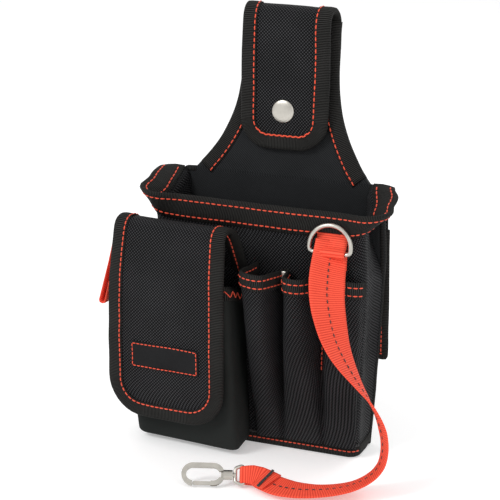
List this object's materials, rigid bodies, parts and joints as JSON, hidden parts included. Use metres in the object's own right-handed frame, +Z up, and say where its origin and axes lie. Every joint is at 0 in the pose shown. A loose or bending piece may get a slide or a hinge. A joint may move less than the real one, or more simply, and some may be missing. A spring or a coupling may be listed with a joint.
{
  "type": "electrician tool pouch",
  "caption": "Woven belt pouch with a flared main pocket, open tool tubes, a flapped phone pocket, a snap belt strap and an orange lanyard with a swivel hook.",
  "frame": {"origin": "on the floor, under the middle of the pouch's box measured without the lanyard and hook", "axes": "+Z up, +Y towards the wearer's hip, +X to the right seen from the front"},
  "size_m": [0.2073, 0.1428, 0.2979],
  "materials": {
    "ballistic_weave": "coarse basket weave, slight sheen",
    "binding_tape": "ribbed tape with orange stitches",
    "plain_lining": "fine plain weave",
    "stretch_knit": "smooth knit",
    "orange_webbing": "ribbed webbing",
    "board": "matt",
    "label": "woven label",
    "hook_and_loop": "hook and loop tape",
    "nickel": "satin nickel plate"
  },
  "bodies": {
    "pouch": {"back_lining": "plain_lining", "back_panel": "ballistic_weave", "back_stiffener": "board", "bottom_cover": "ballistic_weave", "bottom_panel": "ballistic_weave", "flap_loop_patch": "hook_and_loop", "front_panel": "ballistic_weave", "gusset_left": "ballistic_weave", "gusset_right": "ballistic_weave", "lanyard": "orange_webbing", "lanyard_bartack": "binding_tape", "lanyard_end_loop": "orange_webbing", "neck_fold": "ballistic_weave", "phone_flap_root": "ballistic_weave", "phone_pocket": "stretch_knit", "phone_pocket_tape": "binding_tape", "pocket_rivet": "nickel", "rear_tab_anchor": "ballistic_weave", "rim_tape": "binding_tape", "ring_tab": "orange_webbing", "side_tab": "orange_webbing", "snap_rivet": "nickel", "snap_stud": "nickel", "tool_pocket_left": "ballistic_weave", "tool_pocket_middle": "ballistic_weave", "tool_pocket_right": "ballistic_weave", "tool_pocket_tape_left": "binding_tape", "tool_pocket_tape_middle": "binding_tape", "tool_pocket_tape_right": "binding_tape", "yoke_binding_left": "binding_tape", "yoke_binding_right": "binding_tape"},
    "tongue": {"belt_tongue": "ballistic_weave", "belt_tongue_binding": "binding_tape", "snap_cap": "nickel", "snap_socket": "nickel"},
    "flap": {"phone_flap": "ballistic_weave", "phone_flap_binding": "binding_tape", "label_patch": "label", "flap_hook_patch": "hook_and_loop"},
    "ring": {"d_ring": "nickel"},
    "rear_flap": {"rear_tab": "ballistic_weave", "rear_tab_binding": "binding_tape"},
    "eye": {"swivel_eye": "nickel"},
    "hook": {"hook_body": "nickel", "gate_pin": "nickel", "gate_spring": "nickel"},
    "gate": {"hook_gate": "nickel"}
  },
  "joints": [
    {"name": "belt_tongue_hinge", "type": "hinge", "parent": "pouch", "child": "tongue", "pos_m": [0.00857, 0.02779, 0.2885], "axis": [-1, 0, 0], "range_deg": [0, 150]},
    {"name": "phone_flap_hinge", "type": "hinge", "parent": "pouch", "child": "flap", "pos_m": [-0.0465, -0.04473, 0.14997], "axis": [-0.9965, 0.0837, 0], "range_deg": [0, 150]},
    {"name": "d_ring_hinge", "type": "hinge", "parent": "pouch", "child": "ring", "pos_m": [0.05857, -0.01603, 0.146], "axis": [1, 0, 0], "range_deg": [0, 110]},
    {"name": "rear_tab_hinge", "type": "hinge", "parent": "pouch", "child": "rear_flap", "pos_m": [0.00857, 0.03527, 0.1544], "axis": [1, 0, 0], "range_deg": [0, 120]},
    {"name": "hook_eye_swing", "type": "hinge", "parent": "pouch", "child": "eye", "pos_m": [0.02606, -0.07659, 0.0076], "axis": [0.2262, -0.6017, -0.766], "range_deg": [-60, 60]},
    {"name": "hook_swivel", "type": "hinge", "parent": "eye", "child": "hook", "pos_m": [0.01717, -0.07993, 0.0076], "axis": [-0.9361, -0.3518, 0], "continuous": true},
    {"name": "hook_gate_hinge", "type": "hinge", "parent": "hook", "child": "gate", "pos_m": [0.00917, -0.08706, 0.003], "axis": [-0.2695, 0.7171, -0.6428], "range_deg": [0, 30], "stiffness_Nm_per_rad": 0.02, "springref_deg": -17.19}
  ]
}
